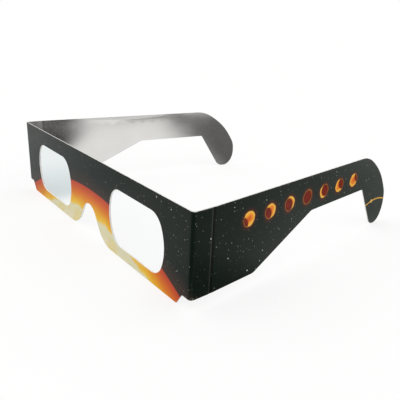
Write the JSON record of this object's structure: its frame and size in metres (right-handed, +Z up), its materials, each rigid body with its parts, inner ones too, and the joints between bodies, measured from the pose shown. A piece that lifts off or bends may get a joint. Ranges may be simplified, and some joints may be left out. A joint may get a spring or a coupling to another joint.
{
  "type": "paper solar viewing glasses",
  "caption": "Die-cut card glasses with reflective solar filter films, creased corners and hooked arms that fold behind the front.",
  "frame": {"origin": "centre of the bounding box's base, on the surface that the glasses stand on", "axes": "+X across the front towards the wearer's left, +Y from the printed face back to the ear hooks, +Z up"},
  "size_m": [0.146, 0.1258, 0.035],
  "materials": {
    "printed_card": "satin",
    "white_card": "matte",
    "silver_foil": "satin",
    "filter_film": "polished",
    "glue": "matte"
  },
  "bodies": {
    "front": {"front_card": "printed_card", "glue_layer": "glue", "left_filter_film": "filter_film", "right_filter_film": "filter_film", "backing_card": "white_card", "backing_foil": "silver_foil"},
    "left_corner": {"left_corner_strip": "printed_card", "left_corner_foil": "silver_foil"},
    "left_temple": {"left_arm": "printed_card", "left_arm_foil": "silver_foil"},
    "right_corner": {"right_corner_strip": "printed_card", "right_corner_foil": "silver_foil"},
    "right_temple": {"right_arm": "printed_card", "right_arm_foil": "silver_foil"}
  },
  "joints": [
    {"name": "left_corner_crease", "type": "hinge", "parent": "front", "child": "left_corner", "pos_m": [0.0726, -0.06254, 0], "axis": [0, 0, 1], "range_deg": [-93, 2]},
    {"name": "left_arm_crease", "type": "hinge", "parent": "left_corner", "child": "left_temple", "pos_m": [0.07219, -0.05475, 0], "axis": [0, 0, 1], "range_deg": [-3.9, 82.6]},
    {"name": "right_corner_crease", "type": "hinge", "parent": "front", "child": "right_corner", "pos_m": [-0.0726, -0.06254, 0], "axis": [0, 0, -1], "range_deg": [-94, 1]},
    {"name": "right_arm_crease", "type": "hinge", "parent": "right_corner", "child": "right_temple", "pos_m": [-0.07206, -0.05476, 0], "axis": [0, 0, -1], "range_deg": [-5.7, 77.8]}
  ]
}
